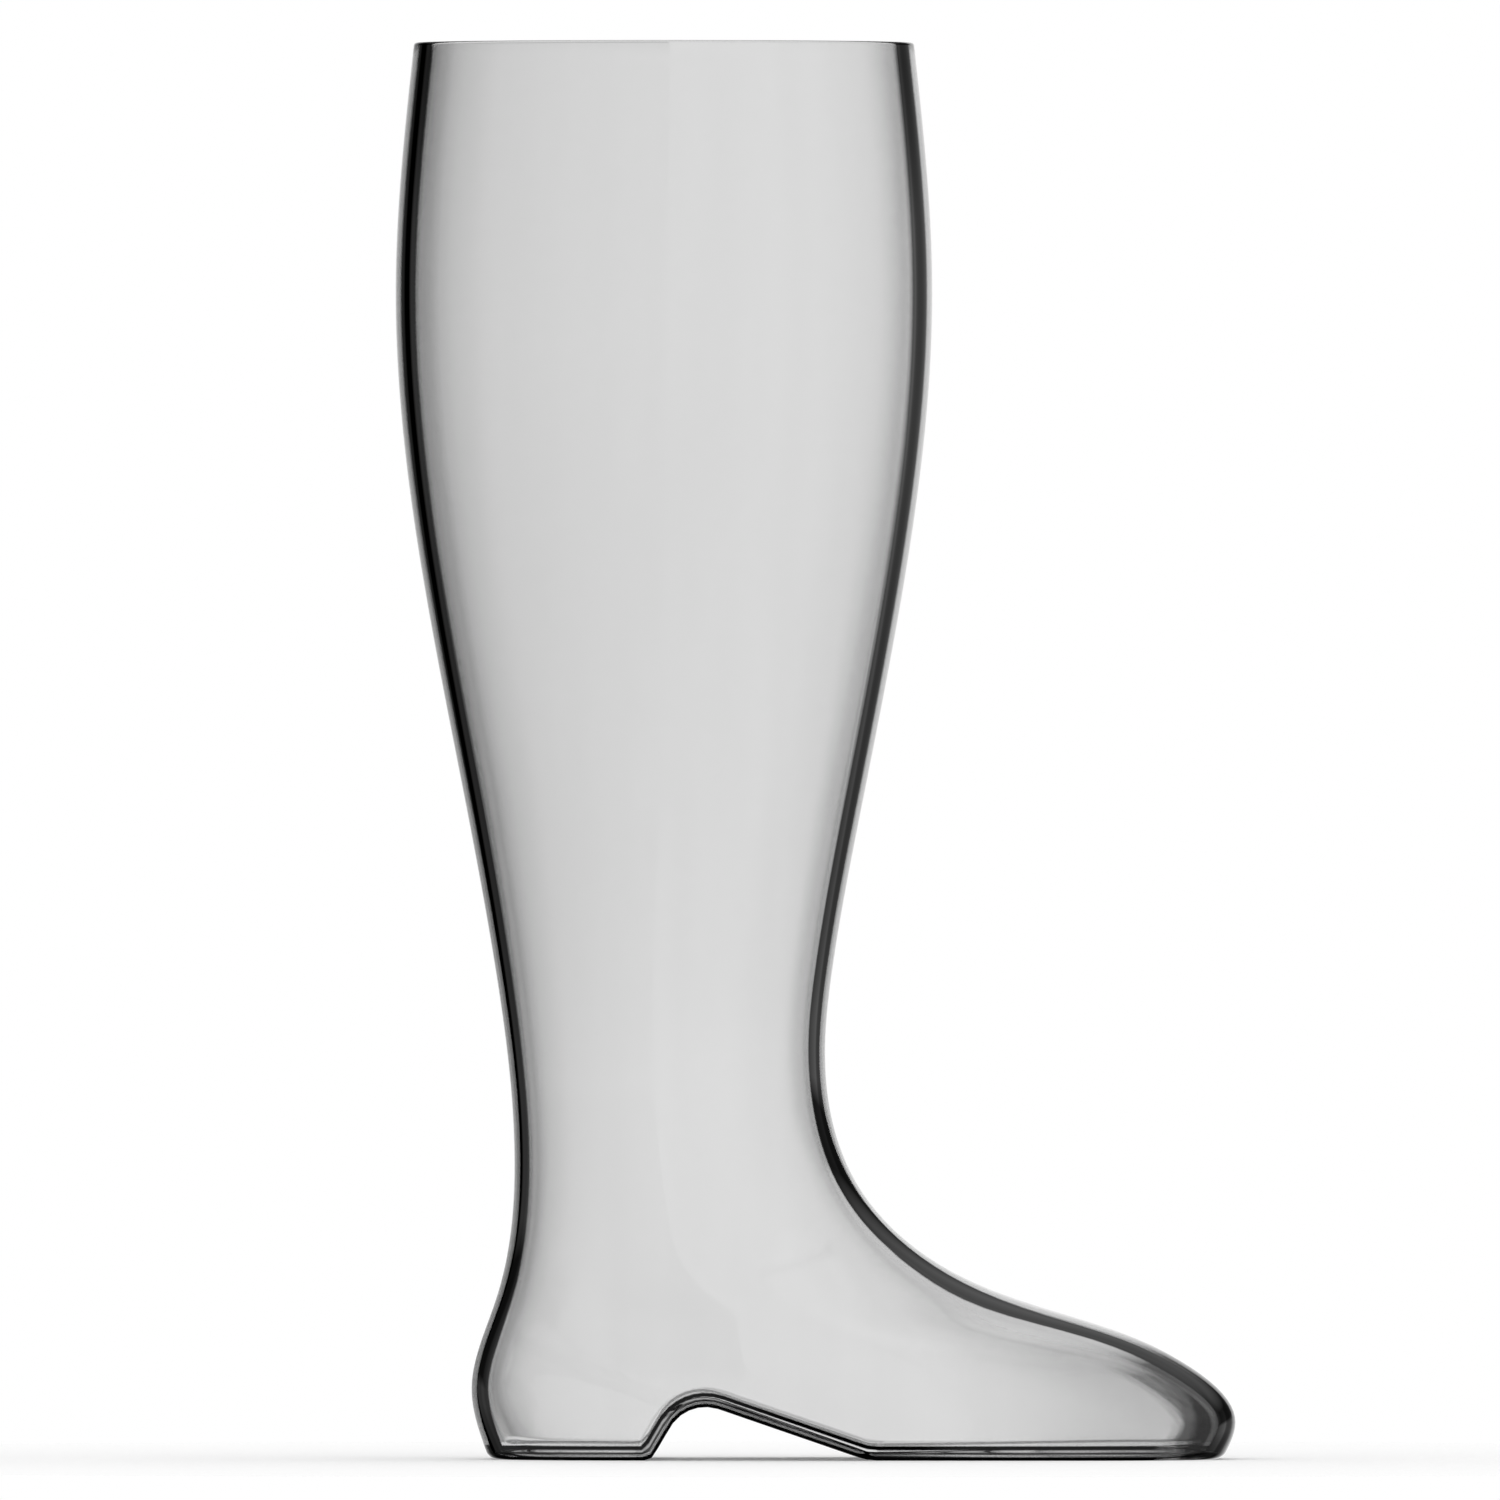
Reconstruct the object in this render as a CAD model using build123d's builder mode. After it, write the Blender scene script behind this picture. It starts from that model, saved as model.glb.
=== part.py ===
"""A boot-shaped drinking glass, in millimetres.

The glass is blown in one piece. Its zones are separate solids that meet face to face: the rim and
the round leg, the foot's rear, front and toe walls, and a floor of heel, shank and sole.
The toe points along +X, +Z is up, and the origin is on the table under the middle of the glass.
"""

import os
from math import cos, pi, sin

import numpy as np
from build123d import *

# Glass thickness
wall = 4.5
floor_thickness = 3.0

# Round leg: the height of each level above the table, and the outside diameter there
boot_height = 340.0
rim_diameter = 120.0
collar_height = 308.0
collar_diameter = 126.4
calf_height = 281.0
calf_diameter = 128.9
upper_shin_height = 206.5
upper_shin_diameter = 114.0
lower_shin_height = 154.7
lower_shin_diameter = 94.2
ankle_height = 117.0
ankle_diameter = 80.7
rim_depth = 5.0
rim_round = 0.8
lip_share = 0.45

# Front of the foot: heights, and reaches ahead of the leg's axis
throat_height = 92.0
throat_reach = 38.85
instep_top_height = 66.6
instep_top_reach = 46.0
instep_height = 45.2
instep_reach = 68.7
vamp_height = 33.8
vamp_reach = 99.3
toe_top_height = 22.2
toe_top_reach = 126.2
toe_height = 9.0
toe_reach = 137.2
toe_base_reach = 134.0

# Back of the foot: heights, and reaches behind the leg's axis
tendon_height = 72.0
tendon_reach = 35.9
counter_height = 38.5
counter_reach = 40.3
heel_height = 16.8
heel_reach = 46.2
heel_base_reach = 42.0

# Plan of the sole: widths, and their places ahead of the leg's axis. The shoe outline fades out up
# to the oval's height, and the width up to the throat, each with its own power
heel_width = 73.0
heel_width_place = -12.0
waist_width = 76.0
waist_place = 34.0
ball_width = 83.0
ball_place = 86.0
oval_height = 50.0
oval_fade = 3
width_fade = 2

# Underside: the heel's front edge, the arch behind the ball, and the roundings between them
breast_place = -3.1
arch_place = 5.6
arch_height = 14.9
tread_place = 48.8
breast_round = 2.6
arch_round = 9.8
tread_round = 12.0
sole_edge_round = 1.8
floor_corner_round = 3.2
cavity_round = 2.4

# Toe zone, back from the tip
toe_cap_length = 44.0

# How steeply a face looks down to count as an underside
downward = -0.4

# Fineness of the curves
line_steps = 240
section_points = 28
foot_levels = 18
level_crowding = 1.5
leg_steps = 12

# The part's box is centred on the origin
leg_axis = (calf_diameter / 2 - toe_reach) / 2


def front(reach, height):
    """A point ahead of the leg's axis."""
    return (leg_axis + reach, height)


def rear(reach, height):
    """A point behind the leg's axis."""
    return (leg_axis - reach, height)


leg_levels = [
    (ankle_diameter / 2, ankle_height),
    (lower_shin_diameter / 2, lower_shin_height),
    (upper_shin_diameter / 2, upper_shin_height),
    (calf_diameter / 2, calf_height),
    (collar_diameter / 2, collar_height),
    (rim_diameter / 2, boot_height),
]
front_levels = [
    (toe_base_reach, 0),
    (toe_reach, toe_height),
    (toe_top_reach, toe_top_height),
    (vamp_reach, vamp_height),
    (instep_reach, instep_height),
    (instep_top_reach, instep_top_height),
    (throat_reach, throat_height),
]
rear_levels = [
    (heel_base_reach, 0),
    (heel_reach, heel_height),
    (counter_reach, counter_height),
    (tendon_reach, tendon_height),
]

# Side view: the front and rear outlines, from the table up to the rim
with BuildLine(Plane.XZ) as front_outline:
    Spline(*[front(*level) for level in front_levels + leg_levels])
with BuildLine(Plane.XZ) as rear_outline:
    Spline(*[rear(*level) for level in rear_levels + leg_levels])


def moved_inwards(outline, inset, turn):
    """Heights and X places along a side outline that is moved square to itself into the glass."""
    line = outline.edge()
    heights = []
    places = []
    for share in np.linspace(0, 1, line_steps):
        inwards = (line % share).cross(Vector(0, 1, 0)) * turn
        point = line @ share + inwards * inset
        heights.append(point.Z)
        places.append(point.X)
    return heights, places


class Form:
    """The foot's surface at one depth below the outside of the glass."""

    def __init__(self, inset):
        self.front = moved_inwards(front_outline, inset, 1)
        self.rear = moved_inwards(rear_outline, inset, -1)
        middle, reach = self.span(0)
        widths = [heel_width, waist_width, ball_width]
        places = [heel_width_place, waist_place, ball_place]
        turns = np.arccos((np.array(places) + leg_axis - middle) / reach)
        halves = np.array(widths) / 2 - inset
        self.waves = np.linalg.solve(np.sin(np.outer(turns, [1, 2, 3])), halves)

    def span(self, height):
        """The middle of a level and its half length."""
        ahead = np.interp(height, *self.front)
        behind = np.interp(height, *self.rear)
        return (ahead + behind) / 2, (ahead - behind) / 2

    def level(self, height):
        """Points round a level: a three-wave sole outline that turns into the round ankle."""
        middle, reach = self.span(height)
        side = reach
        if height < throat_height:
            throat = self.span(throat_height)[1]
            side = throat + (self.waves[0] - throat) * (1 - height / throat_height) ** width_fade
        shoe = max(0, 1 - height / oval_height) ** oval_fade
        points = []
        for turn in np.linspace(0, 2 * pi, section_points, endpoint=False):
            shaping = self.waves[1] * sin(2 * turn) + self.waves[2] * sin(3 * turn)
            points.append((middle + reach * cos(turn), side * sin(turn) + shoe * shaping))
        return points


def foot_solid(form):
    """The foot from the table to the ankle, lofted through its levels."""
    with BuildPart() as foot:
        for share in np.linspace(0, 1, foot_levels) ** level_crowding:
            height = ankle_height * share
            with BuildSketch(Plane.XY.offset(height)):
                with BuildLine():
                    Spline(*form.level(height), periodic=True)
                make_face()
        loft()
    return foot.part


def lifted(before, corner, after):
    """A corner of the underside moved up by the floor's thickness, square to both its runs."""
    arriving = (Vector(*corner) - Vector(*before)).normalized().rotate(Axis.Z, 90)
    leaving = (Vector(*after) - Vector(*corner)).normalized().rotate(Axis.Z, 90)
    mitre = (arriving + leaving) * (floor_thickness / (1 + arriving.dot(leaving)))
    moved = Vector(*corner) + mitre
    return (moved.X, moved.Y)


underside_corners = [
    rear(heel_reach + wall, 0),
    front(breast_place, 0),
    front(arch_place, arch_height),
    front(tread_place, 0),
    front(toe_reach + wall, 0),
]
floor_corners = [
    rear(heel_reach + wall, floor_thickness),
    lifted(*underside_corners[0:3]),
    lifted(*underside_corners[1:4]),
    lifted(*underside_corners[2:5]),
    front(toe_reach + wall, floor_thickness),
]

underside_rounds = [breast_round, arch_round, tread_round]
floor_rounds = [floor_corner_round, arch_round + floor_thickness, floor_corner_round]

# Side view of the floor: one band for the plate, and all that lies under its upper face
with BuildSketch(Plane.XZ) as floor_band:
    with BuildLine():
        under = FilletPolyline(*underside_corners, radius=underside_rounds)
        over = FilletPolyline(*floor_corners, radius=floor_rounds)
        Line(under @ 0, over @ 0)
        Line(under @ 1, over @ 1)
    make_face()
with BuildSketch(Plane.XZ) as below_floor:
    with BuildLine():
        over = FilletPolyline(*floor_corners, radius=floor_rounds)
        Polyline(
            over @ 0,
            rear(heel_reach + wall, -floor_thickness),
            front(toe_reach + wall, -floor_thickness),
            over @ 1,
        )
    make_face()

outside = Form(0)
inside = Form(wall)
foot_outside = foot_solid(outside)
foot_inside = foot_solid(inside)


def bottom_rim(solid):
    """The edges round a solid's lower faces, without the straight ones that cross them."""
    lower_faces = solid.faces().filter_by(lambda face: face.normal_at().Z < downward)
    return lower_faces.edges().filter_by(GeomType.LINE, reverse=True)


with BuildPart() as cavity:
    add(foot_inside)
    extrude(below_floor.sketch, amount=ball_width, both=True, mode=Mode.SUBTRACT)
    fillet(bottom_rim(cavity), radius=cavity_round)

with BuildPart() as foot_wall:
    add(foot_outside)
    extrude(below_floor.sketch, amount=ball_width, both=True, mode=Mode.SUBTRACT)
    add(cavity.part, mode=Mode.SUBTRACT)

with BuildPart() as floor_plate:
    add(foot_outside)
    extrude(floor_band.sketch, amount=ball_width, both=True, mode=Mode.INTERSECT)
    fillet(bottom_rim(floor_plate), radius=sole_edge_round)


def leg_profile(low, high):
    """Half of the leg's wall in side view, between two heights, to be turned about its axis."""
    heights = np.linspace(low, high, leg_steps)
    with BuildSketch(Plane.XZ) as profile:
        with BuildLine():
            outer = Spline(*[front(outside.span(height)[1], height) for height in heights])
            inner = Spline(*[front(inside.span(height)[1], height) for height in heights])
            Line(outer @ 0, inner @ 0)
            Line(outer @ 1, inner @ 1)
        make_face()
    return profile.sketch


leg_centre = Axis((leg_axis, 0, 0), (0, 0, 1))
calf_top = boot_height - rim_depth

# The fire-polished lip
with BuildPart() as rim:
    revolve(leg_profile(calf_top, boot_height), axis=leg_centre)
    fillet(rim.faces().sort_by(Axis.Z)[-1].edges(), radius=min(rim_round, lip_share * wall))

# The round leg in two zones: the wide calf under the lip, and the shin that narrows to the ankle
with BuildPart() as calf:
    revolve(leg_profile(upper_shin_height, calf_top), axis=leg_centre)

with BuildPart() as shin:
    revolve(leg_profile(ankle_height, upper_shin_height), axis=leg_centre)

# The foot's wall in three zones: behind the leg's axis, ahead of it, and the toe
ankle_cut = Plane.YZ.offset(leg_axis)
toe_cut = Plane.YZ.offset(leg_axis + toe_reach - toe_cap_length)
with BuildPart() as counter:
    add(foot_wall.part)
    split(bisect_by=ankle_cut, keep=Keep.BOTTOM)

with BuildPart() as vamp:
    add(foot_wall.part)
    split(bisect_by=ankle_cut, keep=Keep.TOP)
    split(bisect_by=toe_cut, keep=Keep.BOTTOM)

with BuildPart() as toe_cap:
    add(foot_wall.part)
    split(bisect_by=toe_cut, keep=Keep.TOP)

# The floor in three zones: the flat heel, the arched shank and the flat sole
breast_cut = Plane.YZ.offset(leg_axis + breast_place)
tread_cut = Plane.YZ.offset(leg_axis + tread_place)
with BuildPart() as heel:
    add(floor_plate.part)
    split(bisect_by=breast_cut, keep=Keep.BOTTOM)

with BuildPart() as shank:
    add(floor_plate.part)
    split(bisect_by=breast_cut, keep=Keep.TOP)
    split(bisect_by=tread_cut, keep=Keep.BOTTOM)

with BuildPart() as sole:
    add(floor_plate.part)
    split(bisect_by=tread_cut, keep=Keep.TOP)

pieces = {
    "rim": rim,
    "calf": calf,
    "shin": shin,
    "counter": counter,
    "vamp": vamp,
    "toe_cap": toe_cap,
    "heel": heel,
    "shank": shank,
    "sole": sole,
}
os.makedirs("parts", exist_ok=True)
for name, piece in pieces.items():
    piece.part.label = name
    export_step(piece.part, f"parts/{name}.step")
    print(f"{name}: {piece.part.volume / 1000:.1f} cm3")
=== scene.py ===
import math

import bpy
import numpy as np
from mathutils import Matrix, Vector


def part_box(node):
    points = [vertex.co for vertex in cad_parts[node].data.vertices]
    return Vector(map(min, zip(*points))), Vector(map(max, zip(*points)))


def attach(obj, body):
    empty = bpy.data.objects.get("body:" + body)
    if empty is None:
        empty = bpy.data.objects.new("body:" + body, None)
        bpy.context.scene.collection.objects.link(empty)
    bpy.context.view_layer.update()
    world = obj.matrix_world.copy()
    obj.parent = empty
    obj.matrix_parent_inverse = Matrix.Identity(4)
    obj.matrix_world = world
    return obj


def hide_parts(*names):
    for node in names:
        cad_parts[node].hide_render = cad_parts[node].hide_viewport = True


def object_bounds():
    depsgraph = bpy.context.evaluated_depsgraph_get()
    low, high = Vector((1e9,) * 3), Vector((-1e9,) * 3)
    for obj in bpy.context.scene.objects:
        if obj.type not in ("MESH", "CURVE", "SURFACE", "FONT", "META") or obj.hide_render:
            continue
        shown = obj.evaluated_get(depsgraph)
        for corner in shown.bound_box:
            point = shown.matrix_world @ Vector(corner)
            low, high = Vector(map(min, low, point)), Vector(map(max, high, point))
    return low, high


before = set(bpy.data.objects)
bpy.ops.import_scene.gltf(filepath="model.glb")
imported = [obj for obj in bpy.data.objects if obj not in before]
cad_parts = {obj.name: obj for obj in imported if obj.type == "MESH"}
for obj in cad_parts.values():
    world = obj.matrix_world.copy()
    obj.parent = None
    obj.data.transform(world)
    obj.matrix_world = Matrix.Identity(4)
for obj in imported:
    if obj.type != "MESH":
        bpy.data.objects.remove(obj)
cadBox = [[float(v) for v in corner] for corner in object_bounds()]
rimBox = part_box("rim")
legAxis = (rimBox[0][0] + rimBox[1][0]) / 2  # X of the leg's centre line
bootTop = cadBox[1][2]
print("frame loaded, leg axis at", round(legAxis, 5), "top at", round(bootTop, 4))


# Side view of the boot in metres: (reach from the leg's axis, height), from the table upwards
bootShape = {
    "legLevels": [(0.04035, 0.117), (0.0471, 0.1547), (0.057, 0.2065), (0.06443, 0.281), (0.0632, 0.308),
                  (0.06, 0.34)],
    "frontLevels": [(0.134, 0), (0.1372, 0.009), (0.1262, 0.0222), (0.0993, 0.0338), (0.0687, 0.0452),
                    (0.046, 0.0666), (0.03885, 0.092)],
    "rearLevels": [(0.042, 0), (0.0462, 0.0168), (0.0403, 0.0385), (0.0359, 0.072)],
    "throatHeight": 0.092,  # the plan is round from here up
    "widthFade": 2,  # power of the change from the sole's width to the round ankle
    "ovalHeight": 0.05,  # the plan is a plain oval from here up
    "ovalFade": 3,
    "planPlaces": [-0.012, 0.034, 0.086],  # heel, waist and ball, ahead of the leg's axis
    "planWidths": [0.073, 0.076, 0.083],
    "underside": [(-0.0031, 0), (0.0056, 0.0149), (0.0488, 0)],  # heel breast, arch and tread corners
    "undersideEnds": (-0.06, 0.15),  # the flat runs go on past the heel and the toe
    "undersideRounds": [0.0026, 0.0098, 0.012],
    "floorRounds": [0.0032, 0.0121, 0.0032],
    "floorThickness": 0.0023,
    "wallHeights": [0, 0.02, 0.05, 0.09, 0.155, 0.23, 0.34],  # the blown wall thins at the ankle
    "frontWalls": [0.0044, 0.0045, 0.0046, 0.0042, 0.0048, 0.0048, 0.0047],
    "rearWalls": [0.0043, 0.0043, 0.0038, 0.0036, 0.0045, 0.0047, 0.0047],
    "normalSteps": (0.004, 0.0003),  # in turn and height, to find the skin's normal
    "normalRounds": 20,
    "floorSearch": 60,  # rounds to find where the wall meets the floor
    "soleRound": 0.0018,
    "floorRound": 0.002,
    "lipRound": 0.0008,
    "around": 224,
    "footRows": 60,
    "footCrowding": 1.4,  # rows crowd towards the sole
    "legRows": 66,
    "plateRows": 15,
    "roundRows": 9,
}


# Smooth line through points: a natural cubic spline, its second derivatives solved over chord lengths
def lineThrough(points, count=4000):
    pts = np.array(points, float)
    gaps = np.linalg.norm(np.diff(pts, axis=0), axis=1)
    along = np.concatenate([[0], np.cumsum(gaps)])
    last = len(pts) - 1
    inner = np.arange(1, last)
    matrix = np.zeros((last + 1, last + 1))
    matrix[0, 0] = matrix[last, last] = 1
    matrix[inner, inner - 1] = gaps[:-1]
    matrix[inner, inner] = 2 * (gaps[:-1] + gaps[1:])
    matrix[inner, inner + 1] = gaps[1:]
    target = np.zeros_like(pts)
    target[1:-1] = 6 * np.diff(np.diff(pts, axis=0) / gaps[:, None], axis=0)
    bends = np.linalg.solve(matrix, target)
    at = np.linspace(0, along[-1], count)
    run = np.clip(np.searchsorted(along, at, side="right") - 1, 0, last - 1)
    left = ((along[run + 1] - at) / gaps[run])[:, None]
    right = 1 - left
    bend = (left ** 3 - left) * bends[run] + (right ** 3 - right) * bends[run + 1]
    return left * pts[run] + right * pts[run + 1] + bend * (gaps[run] ** 2 / 6)[:, None]


# Straight runs whose corners are arcs that touch both runs
def roundedLine(corners, rounds, steps=24):
    pts = np.array(corners, float)
    units = np.diff(pts, axis=0)
    units /= np.linalg.norm(units, axis=1)[:, None]
    parts = [pts[:1]]
    for corner, radius, arriving, leaving in zip(pts[1:-1], rounds, units[:-1], units[1:]):
        turn = math.atan2(arriving[0] * leaving[1] - arriving[1] * leaving[0], arriving @ leaving)
        start = corner - arriving * radius * math.tan(abs(turn) / 2)
        centre = start + np.array([-arriving[1], arriving[0]]) * math.copysign(radius, turn)
        angles = np.linspace(0, turn, steps)
        spoke = start - centre
        arcX = spoke[0] * np.cos(angles) - spoke[1] * np.sin(angles)
        arcZ = spoke[0] * np.sin(angles) + spoke[1] * np.cos(angles)
        parts.append(centre + np.stack([arcX, arcZ], axis=1))
    parts.append(pts[-1:])
    return np.concatenate(parts)


# Each corner of the underside raised square to both its runs by the floor's thickness
def raisedCorners(corners, rise):
    pts = np.array(corners, float)
    units = np.diff(pts, axis=0)
    units /= np.linalg.norm(units, axis=1)[:, None]
    normals = np.stack([-units[:, 1], units[:, 0]], axis=1)
    both = 1 + np.sum(normals[:-1] * normals[1:], axis=1)
    mitres = (normals[:-1] + normals[1:]) / both[:, None]
    return np.concatenate([pts[:1] + [0, rise], pts[1:-1] + mitres * rise, pts[-1:] + [0, rise]])


# The outer skin of the glass. A level is x = middle + reach cos t,
# y = side sin t + shoe (w2 sin 2t + w3 sin 3t), with the waves from the plan widths
def outerSkin():
    shape = bootShape
    frontLine = lineThrough(shape["frontLevels"] + shape["legLevels"])
    rearLine = lineThrough(shape["rearLevels"] + shape["legLevels"])

    def span(height):
        ahead = np.interp(height, frontLine[:, 1], frontLine[:, 0])
        behind = np.interp(height, rearLine[:, 1], rearLine[:, 0])
        return (ahead - behind) / 2, (ahead + behind) / 2

    middle, reach = span(0)
    angles = np.arccos((np.array(shape["planPlaces"]) - middle) / reach)
    halves = np.array(shape["planWidths"]) / 2
    waves = np.linalg.solve(np.sin(np.outer(angles, [1, 2, 3])), halves)
    throat = span(shape["throatHeight"])[1]

    def level(turn, height):
        middle, reach = span(height)
        low = np.clip(1 - height / shape["throatHeight"], 0, 1) ** shape["widthFade"]
        side = np.where(height < shape["throatHeight"], throat + (waves[0] - throat) * low, reach)
        shoe = np.clip(1 - height / shape["ovalHeight"], 0, 1) ** shape["ovalFade"]
        x = legAxis + middle + reach * np.cos(turn)
        y = side * np.sin(turn) + shoe * (waves[1] * np.sin(2 * turn) + waves[2] * np.sin(3 * turn))
        return x, y

    return level


# The inner skin: the outer one moved in along its own normal by the wall there. For a level of the
# inner skin, the outer place is found by repeating height = level + wall x normal Z
def innerSkin(outside):
    shape = bootShape
    turnStep, rise = shape["normalSteps"]

    def inwards(turn, height):
        aroundX, aroundY = np.subtract(outside(turn + turnStep, height), outside(turn - turnStep, height))
        upX, upY = np.subtract(outside(turn, height + rise), outside(turn, height - rise)) / (2 * rise)
        normal = np.stack([aroundY, -aroundX, aroundX * upY - aroundY * upX])
        ahead = (1 + np.cos(turn)) / 2
        wall = (np.interp(height, shape["wallHeights"], shape["frontWalls"]) * ahead
                + np.interp(height, shape["wallHeights"], shape["rearWalls"]) * (1 - ahead))
        return normal / np.linalg.norm(normal, axis=0) * wall

    def level(turn, height):
        turn, height = np.broadcast_arrays(turn, height)
        place = height
        for step in range(shape["normalRounds"]):
            place = height + inwards(turn, place)[2]
        x, y = outside(turn, place)
        deep = inwards(turn, place)
        return x - deep[0], y - deep[1]

    return level


# Rows of one skin from the spine of its floor out to the rounded edge and up the wall.
# Above the edge, a row's height is its level plus what is left of the floor's own height there
def skinRows(level, floorLine, edgeRound, levels):
    shape = bootShape
    turn = np.linspace(0, 2 * math.pi, shape["around"], endpoint=False)

    def floorAt(x):
        return np.interp(x - legAxis, floorLine[:, 0], floorLine[:, 1])

    def leftAt(height):
        return np.clip(1 - height / shape["throatHeight"], 0, 1) ** shape["widthFade"]

    base = np.zeros_like(turn)
    for step in range(shape["floorSearch"]):
        base = (base + floorAt(level(turn, base)[0])) / 2
    outline = np.stack(level(turn, base))
    ahead = np.roll(outline, -1, axis=1) - np.roll(outline, 1, axis=1)
    ahead /= np.linalg.norm(ahead, axis=0)
    outX, outY = ahead[1], -ahead[0]

    bend = np.linspace(0, math.pi / 2, shape["roundRows"])[:, None]
    rise = edgeRound * (1 - np.cos(bend))
    inset = edgeRound * (1 - np.sin(bend))
    edgeX, edgeY = level(turn, base + rise)
    edgeX = edgeX - outX * inset
    edgeY = edgeY - outY * inset
    edgeY[:, [0, shape["around"] // 2]] = 0  # the toe and heel points stay on the middle plane
    edgeZ = floorAt(edgeX) * np.cos(bend) + base * (1 - np.cos(bend)) + rise

    share = np.linspace(0, 1, shape["plateRows"], endpoint=False)[:, None]
    plateX = np.repeat(edgeX[:1], len(share), axis=0)
    plateY = edgeY[0] * share
    plateZ = floorAt(plateX)

    wallZ = levels[:, None] + base * leftAt(levels[:, None]) / leftAt(edgeRound)
    wallX, wallY = level(turn, wallZ)
    x = np.concatenate([plateX, edgeX, wallX])
    y = np.concatenate([plateY, edgeY, wallY])
    z = np.concatenate([plateZ, edgeZ, wallZ])
    return np.stack([x, y, z], axis=2)


# The lip: a quarter arc out of the outer wall, a flat top and a quarter arc into the inner wall
def lipRows(outer, inner):
    radius = bootShape["lipRound"]
    bend = np.linspace(0, math.pi / 2, bootShape["roundRows"])[1:, None]
    centre = np.array([legAxis, 0])
    outerSpan = outer[-1, :, :2] - centre
    innerSpan = inner[-1, :, :2] - centre
    outerReach = np.linalg.norm(outerSpan, axis=1)
    innerReach = np.linalg.norm(innerSpan, axis=1)
    outwards = outerSpan / outerReach[:, None]
    up = outerReach - radius * (1 - np.cos(bend))
    down = innerReach + radius * (1 - np.cos(bend[::-1]))
    reach = np.concatenate([up, down])
    height = bootTop - radius * (1 - np.sin(np.concatenate([bend, bend[::-1]])))
    flat = centre + outwards[None] * reach[:, :, None]
    return np.concatenate([flat, np.repeat(height[:, :, None], flat.shape[1], axis=1)], axis=2)


# A grid of rows as one closed mesh: equal points are welded, and a quad with two equal corners
# is a triangle
def meshFromRows(name, rows, layers, weldGrid=1e-7):
    count, around = rows.shape[:2]
    points = rows.reshape(-1, 3)
    places = np.round(points / weldGrid).astype(np.int64)
    first, weld = np.unique(places, axis=0, return_index=True, return_inverse=True)[1:]
    weld = weld.reshape(-1)
    low = np.arange(count - 1)[:, None] * around
    here = np.arange(around)[None]
    there = (here + 1) % around
    quads = np.stack([low + here, low + there, low + around + there, low + around + here], axis=2)
    quads = weld[quads].reshape(-1, 4)
    same = quads == np.roll(quads, -1, axis=1)
    full = quads[same.sum(axis=1) == 0]
    short = same.sum(axis=1) == 1
    drop = np.argmax(same[short], axis=1)
    keep = (drop[:, None] + np.array([1, 2, 3])) % 4
    triangles = np.take_along_axis(quads[short], keep, axis=1)
    mesh = bpy.data.meshes.new(name)
    mesh.from_pydata(points[first], [], full.tolist() + triangles.tolist())
    mesh.polygons.foreach_set("use_smooth", np.ones(len(mesh.polygons), bool))
    for layerName, values in layers.items():
        layer = mesh.attributes.new(layerName, "FLOAT", "POINT")
        layer.data.foreach_set("value", values.reshape(-1)[first].astype(np.float32))
    mesh.update()
    piece = bpy.data.objects.new(name, mesh)
    bpy.context.scene.collection.objects.link(piece)
    return piece


# Painted shade on the glass, standing in for the dark that it reflects and refracts at its edges: the dark
# band inside the outline, the lighter strip in it, the grey toe end and the dark line round the floor's
# inner corner. The ends along the toe are ahead of the leg's axis
paintedShadeLook = {
    "limits": (0.25, 0.9),  # least and most turn at which the band may start
    "soleStart": 0.75,  # the turn at which it starts on the sole's rounded edge
    "evening": 9,  # points of the outline that are averaged
    "besideSpread": 1e-9,  # square metres, keeps the weights of near points finite
    "sharedSpread": 1e-6,  # the same where the front and rear outlines share the skin
    "stripDepth": 0.00135,
    "stripLimits": (0.3, 0.97),
    "stripClear": 0.4,
    "stripUpwards": 0.3,  # more clear on faces that look up
    "stripEnd": (0.116, 0.13),  # the strip ends along the toe
    "toeHeights": [0, 0.009, 0.018, 0.0235, 0.0275],
    "toeReaches": [0.0128, 0.0128, 0.011, 0.0095, 0.0085],  # how far behind the toe's outline it darkens
    # Each step of the toe's shade: how dark, how much nearer the outline, how soft
    "toeSteps": [(0.3, -0.032, 0.06), (0.3, 0, 0.0012), (0.4, 0.0026, 0.0012)],
    "toeDarkest": 0.98,
    "toeBare": (0.002, 0.0042),  # from outside, the very front of the toe is clear
    "toeTop": (0.026, 0.03),
    "cornerEnd": (0.118, 0.128),  # the dark line round the floor's inner corner ends along the toe
    "cornerShade": 0.62,
    "cornerRows": 2,
}


# Straight share of a value between two ends, 0 to 1
def shareOf(value, low, high):
    return np.clip((value - low) / (high - low), 0, 1)


# The same share with soft ends, 3 s^2 - 2 s^3
def softShare(value, low, high):
    share = shareOf(value, low, high)
    return share * share * (3 - 2 * share)


# Unit normals of a grid of rows: the run along the row crossed with the run up the rows
def rowNormals(rows, leastLength=1e-12):
    alongRow = np.roll(rows, -1, axis=1) - np.roll(rows, 1, axis=1)
    normal = np.cross(alongRow, np.gradient(rows, axis=0))
    return normal / np.maximum(np.linalg.norm(normal, axis=2), leastLength)[:, :, None]


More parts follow.
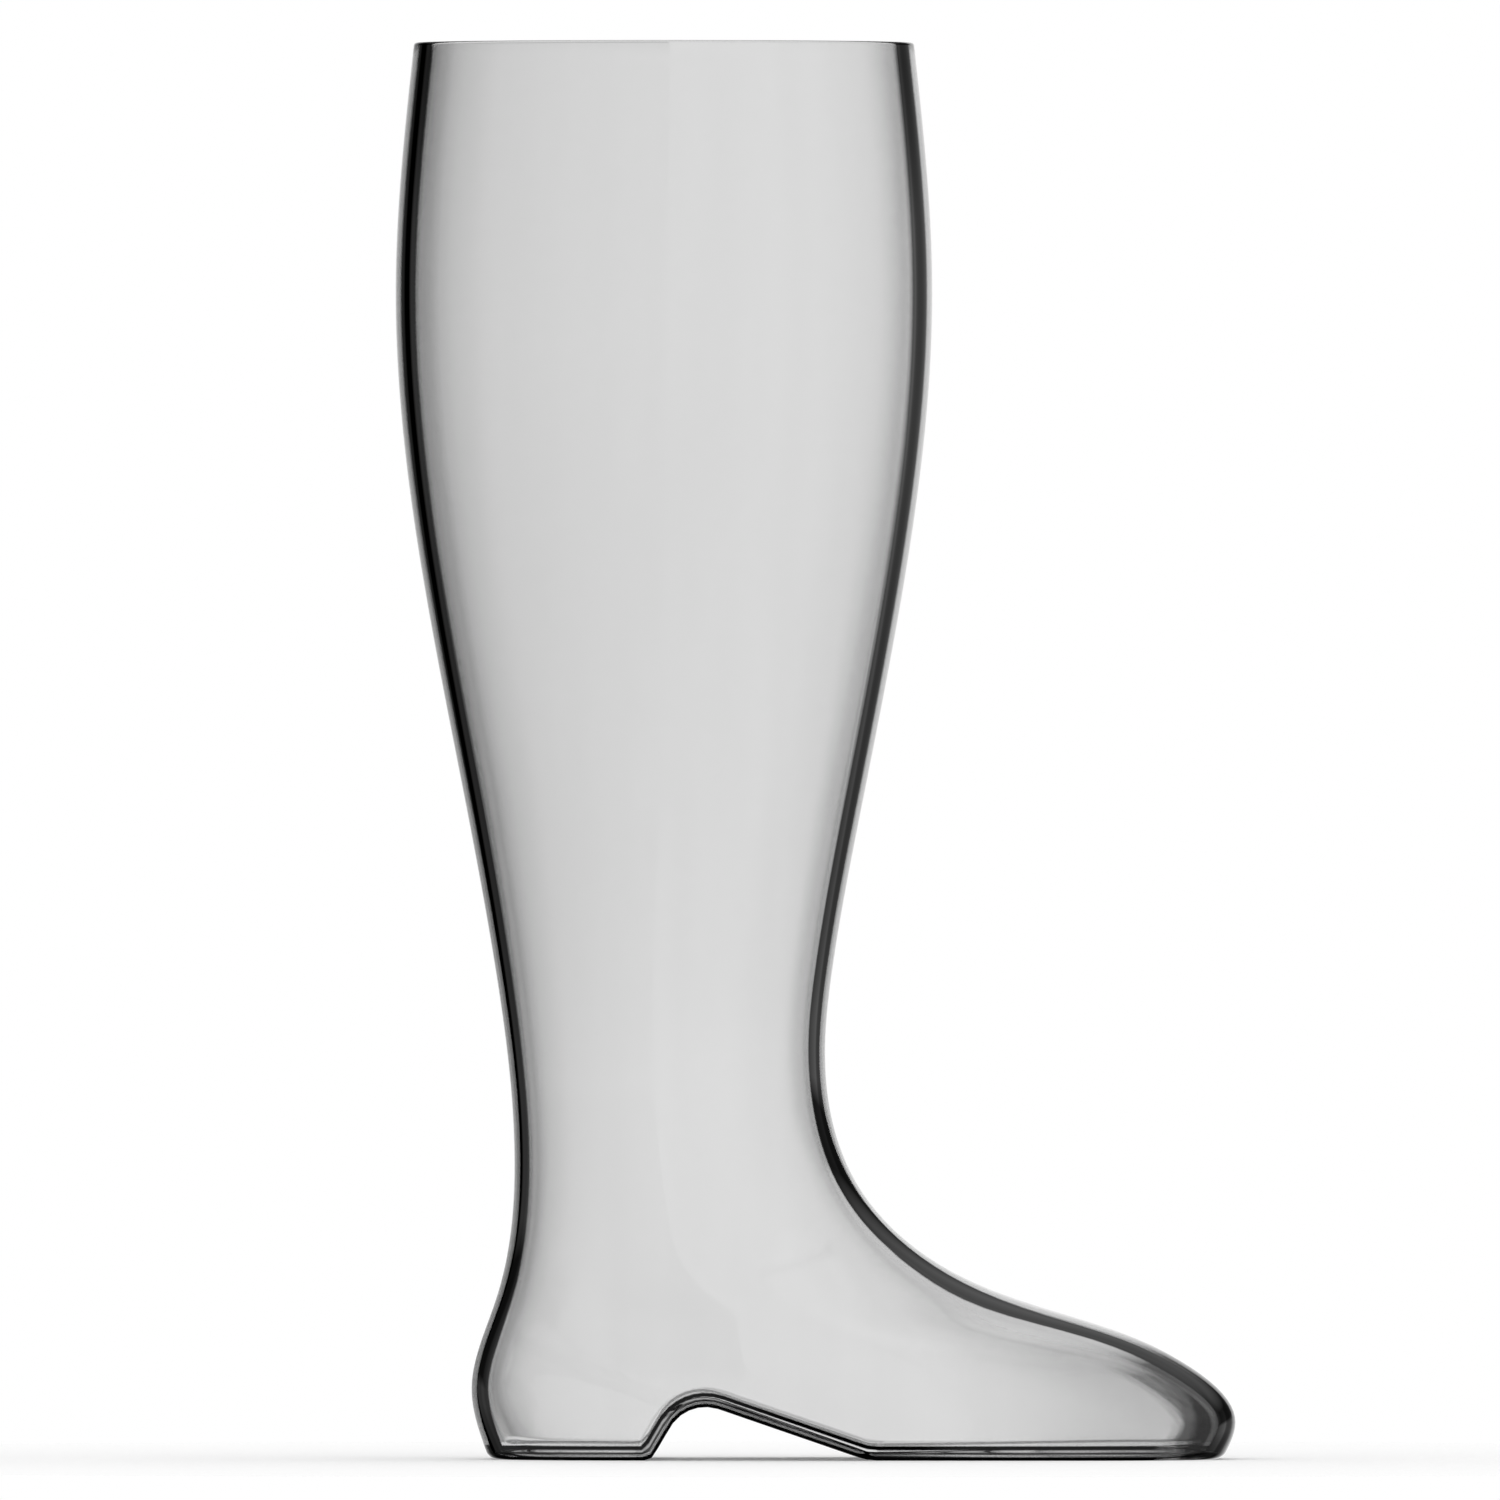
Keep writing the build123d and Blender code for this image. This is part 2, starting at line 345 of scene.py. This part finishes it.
# How far a face has turned from a side view, 1 - |normal Y|, where the skin has come in from the side
# outline by a depth: found beside each point of the front and rear outlines, evened out along them,
# and shared over the skin by closeness to both
def turnedAt(outer, heights, frontDepths, rearDepths, limits):
    half = bootShape["around"] // 2
    first = bootShape["plateRows"] + bootShape["roundRows"] - 1
    turned = 1 - np.abs(rowNormals(outer)[:, :, 1])
    skin = outer[first:, :half + 1, ::2].reshape(-1, 2)
    skinTurned = turned[first:, :half + 1].reshape(-1)
    evening = paintedShadeLook["evening"]
    average = np.ones(evening) / evening
    edges = np.zeros(outer.shape[:2])
    total = np.zeros(outer.shape[:2])
    for column, inwards, depths in ((0, 1, frontDepths), (half, -1, rearDepths)):
        line = outer[first:, column, ::2]
        slope = np.gradient(line, axis=0)
        slope /= np.linalg.norm(slope, axis=1)[:, None]
        depth = np.interp(line[:, 1], heights, depths)
        place = line + np.stack([-slope[:, 1], slope[:, 0]], axis=1) * (depth * inwards)[:, None]
        beside = np.sum((place[:, None] - skin[None]) ** 2, axis=2)
        near = 1 / (beside + paintedShadeLook["besideSpread"]) ** 2
        start = near @ skinTurned / near.sum(axis=1)
        start = np.convolve(np.pad(start, evening // 2, mode="edge"), average, mode="valid")
        far = np.sum((outer[:, :, None, ::2] - line) ** 2, axis=3)
        weight = 1 / (np.min(far, axis=2) + paintedShadeLook["sharedSpread"])
        edges += np.clip(start, *limits)[np.argmin(far, axis=2)] * weight
        total += weight
    return edges / total


# Where the painted dark band starts, where the wall hides the hollow: from one wall inside the outline.
# The plate's face is left clear, and the rounding at its edge starts at a turn of its own
def wallEdges(outer):
    shape = bootShape
    edges = turnedAt(outer, shape["wallHeights"], shape["frontWalls"], shape["rearWalls"],
                     paintedShadeLook["limits"])
    plate = shape["plateRows"] + 1
    edges[:plate] = 1
    edges[plate:plate + shape["roundRows"] - 1] = paintedShadeLook["soleStart"]
    return edges


# Where the lighter strip in the painted dark band starts: at one depth inside the outline all the way up
def stripEdges(outer):
    depths = [paintedShadeLook["stripDepth"]] * 2
    return turnedAt(outer, [0, bootTop], depths, depths, paintedShadeLook["stripLimits"])


# How clear that strip keeps the painted shade: more on faces that look up, and none round the toe's end
def stripClearness(outer):
    up = np.clip(rowNormals(outer)[:, :, 2], 0, 1)
    toe = softShare(outer[:, :, 0] - legAxis, *paintedShadeLook["stripEnd"])
    return (paintedShadeLook["stripClear"] + paintedShadeLook["stripUpwards"] * up) * (1 - toe)


# Painted shade on the toe's end, standing in for the dark where the round end of the hollow turns light
# away: a wide and two narrow smooth steps by the distance behind the front outline at the same height, the
# distances taken from a table over height. The second result is 0 on the very front of the toe and 1 beside
# it
def toeShades(outer):
    look = paintedShadeLook
    height = outer[:, :, 2]
    front = outer[bootShape["plateRows"]:, 0, ::2]
    behind = np.interp(height, front[:, 1], front[:, 0]) - outer[:, :, 0]
    total = np.zeros(outer.shape[:2])
    for shade, nearer, soft in look["toeSteps"]:
        reach = np.interp(height, look["toeHeights"], look["toeReaches"]) - nearer
        total += shade * softShare(reach - behind, -soft / 2, soft / 2)
    total = np.minimum(total, look["toeDarkest"]) * (1 - shareOf(height, *look["toeTop"]))
    return total, shareOf(behind, *look["toeBare"])


# Marks on the inner skin, from the lip down: 1, and more on the top rows of the rounding at the
# floor's corner, where a line of painted shade goes
def cornerShadeMarks(inner, lipHalf):
    look = paintedShadeLook
    marks = np.ones((lipHalf + len(inner), bootShape["around"]))
    corner = len(marks) - bootShape["plateRows"] - bootShape["roundRows"]
    ahead = inner[bootShape["plateRows"] + bootShape["roundRows"] // 2, :, 0] - legAxis
    shade = look["cornerShade"] * (1 - shareOf(ahead, *look["cornerEnd"]))
    marks[corner:corner + look["cornerRows"]] = 1 + shade
    return marks


# Painted shade lines on the thick floor's side, standing in for the lines its refraction shows: (height
# above the underside in metres, how dark)
slabLook = {
    "lines": [(0, 1), (0.0008, 1), (0.0011, 0), (0.0013, 0), (0.0015, 0.98), (0.0019, 0.98), (0.0021, 0),
              (0.0023, 0), (0.0026, 1), (0.0034, 1), (0.0037, 0.1), (0.0042, 0.1), (0.0045, 0.4),
              (0.005, 0), (0.006, 0)],
    "toeEnd": (0.118, 0.13),  # they fade out here, ahead of the leg's axis
    "lineSteps": 1200,
}
slabTop = slabLook["lines"][-1][0]


# Height above the underside, square to it: the least distance to the underside's line in side view,
# and no more than the table of lines needs
def slabHeights(outer, underLine):
    places = np.linspace(underLine[0, 0], underLine[-1, 0], slabLook["lineSteps"])
    line = np.stack([places + legAxis, np.interp(places, underLine[:, 0], underLine[:, 1])], axis=1)
    heights = np.full(outer.shape[:2], slabTop)
    low = outer[:, :, 2] < line[:, 1].max() + slabTop
    far = np.sum((outer[low][:, None, ::2] - line) ** 2, axis=2)
    heights[low] = np.minimum(np.sqrt(far.min(axis=1)), slabTop)
    return heights


# Where those lines are drawn: on the wall round the floor, not on the plate, and not round the toe's end
def slabShades(outer):
    share = 1 - shareOf(outer[:, :, 0] - legAxis, *slabLook["toeEnd"])
    share[:bootShape["plateRows"] + 1] = 0
    return share


# The whole glass as one surface: up the outer skin, over the lip and down the inner skin to its floor
def makeBoot():
    shape = bootShape
    rearEnd, frontEnd = shape["undersideEnds"]
    corners = [(rearEnd, 0)] + shape["underside"] + [(frontEnd, 0)]
    underLine = roundedLine(corners, shape["undersideRounds"])
    floorLine = roundedLine(raisedCorners(corners, shape["floorThickness"]), shape["floorRounds"])
    ankle = shape["legLevels"][0][1]
    foot = np.linspace(0, 1, shape["footRows"])[1:] ** shape["footCrowding"]
    leg = np.linspace(ankle, bootTop - shape["lipRound"], shape["legRows"])[1:]

    def rowsOf(level, line, edge):
        return skinRows(level, line, edge, np.concatenate([edge + (ankle - edge) * foot, leg]))

    outside = outerSkin()
    outer = rowsOf(outside, underLine, shape["soleRound"])
    inner = rowsOf(innerSkin(outside), floorLine, shape["floorRound"])
    lip = lipRows(outer, inner)
    lipHalf = len(lip) // 2
    marks = cornerShadeMarks(inner, lipHalf)
    none = np.zeros_like(marks)
    toeShade, toeSide = toeShades(outer)
    print("skins worked out,", len(outer), "and", len(inner), "rows")

    # The outer skin's values, carried on to the middle of the lip, and then the inner skin's
    def onSkins(values, inside):
        return np.concatenate([values, values[-1:].repeat(lipHalf, axis=0), inside])

    # Where and how much painted shade goes on the glass, per point
    layers = {
        "edgeStart": onSkins(wallEdges(outer), marks),
        "stripStart": onSkins(stripEdges(outer), marks),
        "stripClear": onSkins(stripClearness(outer), none),
        "toeShade": onSkins(toeShade, none),
        "toeSide": onSkins(toeSide, none),
        "slabHeight": onSkins(slabHeights(outer, underLine), none + slabTop),
        "slabShade": onSkins(slabShades(outer), none),
    }
    boot = meshFromRows("boot_glass", np.concatenate([outer, lip, inner[::-1]]), layers)
    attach(boot, "root")
    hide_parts("rim", "calf", "shin", "counter", "vamp", "toe_cap", "heel", "shank", "sole")
    print("boot_glass:", len(boot.data.vertices), "points", len(boot.data.polygons), "faces")
    return boot


# One Math node on one or two values, each an output of another node or a plain number
def mathNode(tree, operation, first, second=None):
    node = tree.nodes.new("ShaderNodeMath")
    node.operation = operation
    for socket, value in zip(node.inputs, (first, second)):
        if isinstance(value, float):
            socket.default_value = value
        elif value is not None:
            tree.links.new(value, socket)
    return node.outputs[0]


# A value's share between two ends, 0 to 1, straight or with soft ends
def rangeNode(tree, value, low, high, kind="LINEAR"):
    node = tree.nodes.new("ShaderNodeMapRange")
    node.interpolation_type = kind
    node.inputs["From Min"].default_value = low
    node.inputs["From Max"].default_value = high
    tree.links.new(value, node.inputs["Value"])
    return node.outputs[0]


# A blend of two colours by a share
def mixNode(tree, share, first, second):
    node = tree.nodes.new("ShaderNodeMix")
    node.data_type = "RGBA"
    tree.links.new(share, node.inputs["Factor"])
    for socket, colour in ((node.inputs[6], first), (node.inputs[7], second)):
        if isinstance(colour, tuple):
            socket.default_value = colour
        else:
            tree.links.new(colour, socket)
    return node.outputs[2]


# Grey levels from a table of (place, level), over a share that runs from the first place to the last
def levelsNode(tree, share, table):
    first, last = table[0][0], table[-1][0]
    node = tree.nodes.new("ShaderNodeValToRGB")
    tree.links.new(share, node.inputs[0])
    stops = node.color_ramp.elements
    while len(stops) < len(table):
        stops.new(0.5)
    for stop, (place, level) in zip(stops, table):
        stop.position = (place - first) / (last - first)
        stop.color = (level, level, level, 1)
    return node.outputs["Color"]


glassFinish = {
    "tint": (0.914, 0.914, 0.914, 1),
    "cordTint": (0.899, 0.899, 0.899, 1),
    "smoke": (0.5, 0.5, 0.5, 1),  # what thick glass swallows, per metre, is density x (1 - smoke)
    "smokeDensity": 24.0,
    # painted shade: the black that the edge band, floor corner, toe end and floor lines turn the glass to
    "edge": (0.0, 0.0, 0.0, 1),
    "edgeSoftness": 0.014,
    "stripSoftness": 0.015,
    "toeLine": (-0.04, -0.08),  # the clear line between the black edge and the grey toe end
    "cornerShadeMarks": (1.2, 1.8),  # starts past 1 mark the floor's inner corner
    "ior": 1.5,
    "streakScale": (90, 90, 2.5),  # the cords of blown glass run up the leg
    "streakDetail": 2.0,
    "streakRange": (0.3, 0.7),
    "rippleScale": (28, 28, 20),
    "rippleDetail": 1.0,
    "rippleHeight": 0.00004,
    "polish": (0.0, 0.0035),  # roughness where the mould left it smooth and where it is worn
}


# Clear glass with painted shade. Its colour goes to black by the largest of four shares: the edge band less
# its lighter strip, the floor's inner corner seen from within, the toe's end, and the floor's lines where
# light goes in
def makeGlass():
    finish = glassFinish
    mat = bpy.data.materials.new("clear_glass")
    mat.use_nodes = True
    tree = mat.node_tree
    nodes, links = tree.nodes, tree.links
    shader = nodes["Principled BSDF"]
    shader.inputs["IOR"].default_value = finish["ior"]
    shader.inputs["Transmission Weight"].default_value = 1.0
    turned = nodes.new("ShaderNodeLayerWeight")
    turned.inputs["Blend"].default_value = 0.5
    fromWithin = nodes.new("ShaderNodeNewGeometry").outputs["Backfacing"]

    def layer(name):
        node = nodes.new("ShaderNodeAttribute")
        node.attribute_name = name
        return node.outputs["Fac"]

    def soft(value, low, high):
        return rangeNode(tree, value, low, high, "SMOOTHSTEP")

    def both(first, second):
        return mathNode(tree, "MULTIPLY", first, second)

    def larger(first, second):
        return mathNode(tree, "MAXIMUM", first, second)

    start = layer("edgeStart")
    past = mathNode(tree, "SUBTRACT", turned.outputs["Facing"], start)
    pastStrip = mathNode(tree, "SUBTRACT", turned.outputs["Facing"], layer("stripStart"))
    band = soft(past, -finish["edgeSoftness"], finish["edgeSoftness"])
    strip = both(soft(pastStrip, -finish["stripSoftness"], finish["stripSoftness"]), layer("stripClear"))
    edge = both(band, mathNode(tree, "SUBTRACT", band, strip))
    corner = both(soft(start, *finish["cornerShadeMarks"]), fromWithin)
    toe = both(soft(past, *finish["toeLine"]), layer("toeShade"))
    toe = both(toe, larger(fromWithin, layer("toeSide")))
    lines = levelsNode(tree, mathNode(tree, "DIVIDE", layer("slabHeight"), slabTop), slabLook["lines"])
    entering = larger(mathNode(tree, "SUBTRACT", layer("slabShade"), fromWithin), 0.0)
    # the glass's painted shade: the largest of the four shares
    paintedShade = larger(larger(edge, corner), larger(toe, both(lines, entering)))
    place = nodes.new("ShaderNodeTexCoord")

    def noise(scale, detail):
        stretch = nodes.new("ShaderNodeMapping")
        stretch.inputs["Scale"].default_value = scale
        links.new(place.outputs["Object"], stretch.inputs["Vector"])
        node = nodes.new("ShaderNodeTexNoise")
        node.inputs["Scale"].default_value = 1.0
        node.inputs["Detail"].default_value = detail
        links.new(stretch.outputs[0], node.inputs["Vector"])
        return node.outputs["Fac"]

    cords = soft(noise(finish["streakScale"], finish["streakDetail"]), *finish["streakRange"])
    clean = mixNode(tree, cords, finish["tint"], finish["cordTint"])
    links.new(mixNode(tree, paintedShade, clean, finish["edge"]), shader.inputs["Base Color"])
    ripple = noise(finish["rippleScale"], finish["rippleDetail"])
    wear = nodes.new("ShaderNodeMapRange")
    wear.inputs["To Min"].default_value, wear.inputs["To Max"].default_value = finish["polish"]
    links.new(ripple, wear.inputs["Value"])
    links.new(wear.outputs[0], shader.inputs["Roughness"])
    bump = nodes.new("ShaderNodeBump")
    bump.inputs["Strength"].default_value = 1.0
    bump.inputs["Distance"].default_value = finish["rippleHeight"]
    links.new(ripple, bump.inputs["Height"])
    links.new(bump.outputs[0], shader.inputs["Normal"])
    smoke = nodes.new("ShaderNodeVolumeAbsorption")
    smoke.inputs["Color"].default_value = finish["smoke"]
    smoke.inputs["Density"].default_value = finish["smokeDensity"]
    links.new(smoke.outputs[0], nodes["Material Output"].inputs["Volume"])
    print("clear_glass:", len(nodes), "nodes")
    return mat


# What the glass sees round it, as (angle in degrees, level). Panels, flagsStart, flagsEnd and mirrored
# are angles from straight behind the boot, with + to the toe's side in panels. The others are heights
studio = {
    "panels": [(-180, 0.95), (-60, 0.95), (-52, 0.6), (-46, 0.2), (-38.5, 0.15), (-37.5, 0), (-30, 0),
               (-29, 0.06), (-22.5, 0.06), (-21, 0.22), (-19, 0.24), (-14.5, 0.34), (-10.5, 0.53),
               (-6.3, 0.71), (-4, 0.83), (-2.3, 0.875), (0, 0.96), (2.3, 1), (4, 0.975), (10.5, 0.9),
               (14.5, 0.78), (20, 0.7), (22, 0.6), (25, 0.3), (28, 0.21), (32, 0.17), (36, 0.19),
               (39, 0.25), (41, 0.55), (44, 0.5), (60, 0.95), (180, 0.95)],
    "ceiling": [(0, 1), (10, 1), (16, 0.9), (22, 0.75), (90, 0.75)],
    "flags": [(0, 1), (2.5, 1), (6, 0.15), (24, 0.1), (34, 0.8), (90, 1)],
    "flagsStart": (20.5, 22),
    "flagsEnd": (48, 60),
    "overhead": [(0, 0), (15, 0), (27, 0.35), (90, 0.35)],
    "ground": [(-90, 0.05), (-16, 0.05), (-4, 1), (90, 1)],
    "mirrored": [(0, 1), (44, 1), (55, 0.36), (180, 0.36)],
    "through": [(-90, 0.9), (-15, 0.9), (-6, 0), (6, 0), (16, 0.7), (90, 0.9)],
    "plain": (1.0, 1.0, 1.0, 1),
}


# Mirrored rays see panels x (ceiling or flags), no darker than overhead, x ground x mirrored. Rays through
# the glass see the lighter of panels and through. All other rays see plain white
def makeWorld():
    world = bpy.data.worlds.new("studio")
    bpy.context.scene.world = world
    world.use_nodes = True
    tree = world.node_tree
    nodes, links = tree.nodes, tree.links
    nodes.clear()
    split = nodes.new("ShaderNodeSeparateXYZ")
    links.new(nodes.new("ShaderNodeTexCoord").outputs["Generated"], split.inputs[0])
    height = mathNode(tree, "ARCSINE", split.outputs["Z"])
    off = mathNode(tree, "ARCCOSINE", split.outputs["Y"])
    away = mathNode(tree, "MULTIPLY", off, mathNode(tree, "SIGN", split.outputs["X"]))

    def between(angle, ends):
        return rangeNode(tree, angle, math.radians(ends[0]), math.radians(ends[1]))

    def levels(angle, name):
        table = studio[name]
        return levelsNode(tree, between(angle, (table[0][0], table[-1][0])), table)

    panels = levels(away, "panels")
    inFlags = between(off, studio["flagsStart"])
    shade = mixNode(tree, inFlags, levels(height, "ceiling"), levels(height, "flags"))
    shade = mathNode(tree, "MAXIMUM", shade, between(off, studio["flagsEnd"]))
    walls = mathNode(tree, "MAXIMUM", mathNode(tree, "MULTIPLY", panels, shade), levels(height, "overhead"))
    walls = mathNode(tree, "MULTIPLY", walls, levels(height, "ground"))
    walls = mathNode(tree, "MULTIPLY", walls, levels(off, "mirrored"))
    through = mathNode(tree, "MAXIMUM", panels, levels(height, "through"))
    path = nodes.new("ShaderNodeLightPath")
    inGlass = path.outputs["Is Transmission Ray"]
    seen = mixNode(tree, mathNode(tree, "MAXIMUM", path.outputs["Is Glossy Ray"], inGlass), studio["plain"],
                   mixNode(tree, inGlass, walls, through))
    back = nodes.new("ShaderNodeBackground")
    links.new(seen, back.inputs["Color"])
    links.new(back.outputs[0], nodes.new("ShaderNodeOutputWorld").inputs["Surface"])
    print("studio:", len(studio["panels"]), "panel levels")


floorShape = {
    "radius": 0.4,
    "around": 96,
    "colour": (1, 1, 1, 1),
}


# A round white floor that takes the boot's shadow. Rays from the glass pass it and see the studio
def makeFloor():
    mesh = bpy.data.meshes.new("floor")
    turn = np.linspace(0, 2 * math.pi, floorShape["around"], endpoint=False)
    ring = np.stack([np.cos(turn), np.sin(turn), np.zeros_like(turn)], axis=1) * floorShape["radius"]
    mesh.from_pydata(ring, [], [list(range(floorShape["around"]))])
    floor = bpy.data.objects.new("floor", mesh)
    bpy.context.scene.collection.objects.link(floor)
    mat = bpy.data.materials.new("pale_floor")
    mat.use_nodes = True
    tree = mat.node_tree
    nodes, links = tree.nodes, tree.links
    nodes.clear()
    paint = nodes.new("ShaderNodeBsdfDiffuse")
    paint.inputs["Color"].default_value = floorShape["colour"]
    path = nodes.new("ShaderNodeLightPath")
    mix = nodes.new("ShaderNodeMixShader")
    links.new(mathNode(tree, "MAXIMUM", path.outputs["Is Glossy Ray"], path.outputs["Is Transmission Ray"]),
              mix.inputs[0])
    links.new(paint.outputs[0], mix.inputs[1])
    links.new(nodes.new("ShaderNodeBsdfTransparent").outputs[0], mix.inputs[2])
    links.new(mix.outputs[0], nodes.new("ShaderNodeOutputMaterial").inputs["Surface"])
    mesh.materials.append(mat)
    print("floor:", floorShape["radius"], "m in radius")


# A long lens at the middle of the frame, looking square at the boot's side
cameraSetup = {
    "sensor": 36,
    "distance": 16.0,
    "frameWidth": 0.36006,  # what the picture spans at the boot
    "aimAhead": 0.02064,  # picture centre, ahead of the leg's axis
    "aimHeight": 0.1702,
}


# Focal length = sensor x distance / width of the frame at the boot
def makeCamera():
    data = bpy.data.cameras.new("camera")
    data.sensor_width = cameraSetup["sensor"]
    data.lens = cameraSetup["sensor"] * cameraSetup["distance"] / cameraSetup["frameWidth"]
    camera = bpy.data.objects.new("camera", data)
    aimX = legAxis + cameraSetup["aimAhead"]
    camera.location = (aimX, -cameraSetup["distance"], cameraSetup["aimHeight"])
    camera.rotation_euler = (math.pi / 2, 0, 0)
    bpy.context.scene.collection.objects.link(camera)
    bpy.context.scene.camera = camera
    print("camera:", round(data.lens), "mm lens")


lightDepth = {"all": 24, "transmission": 24, "glossy": 12}  # how often light may turn in the glass

boot = makeBoot()
boot.data.materials.append(makeGlass())
makeWorld()
makeFloor()
makeCamera()
scene = bpy.context.scene
scene.view_settings.view_transform = "Standard"
scene.cycles.max_bounces = lightDepth["all"]
scene.cycles.transmission_bounces = lightDepth["transmission"]
scene.cycles.glossy_bounces = lightDepth["glossy"]
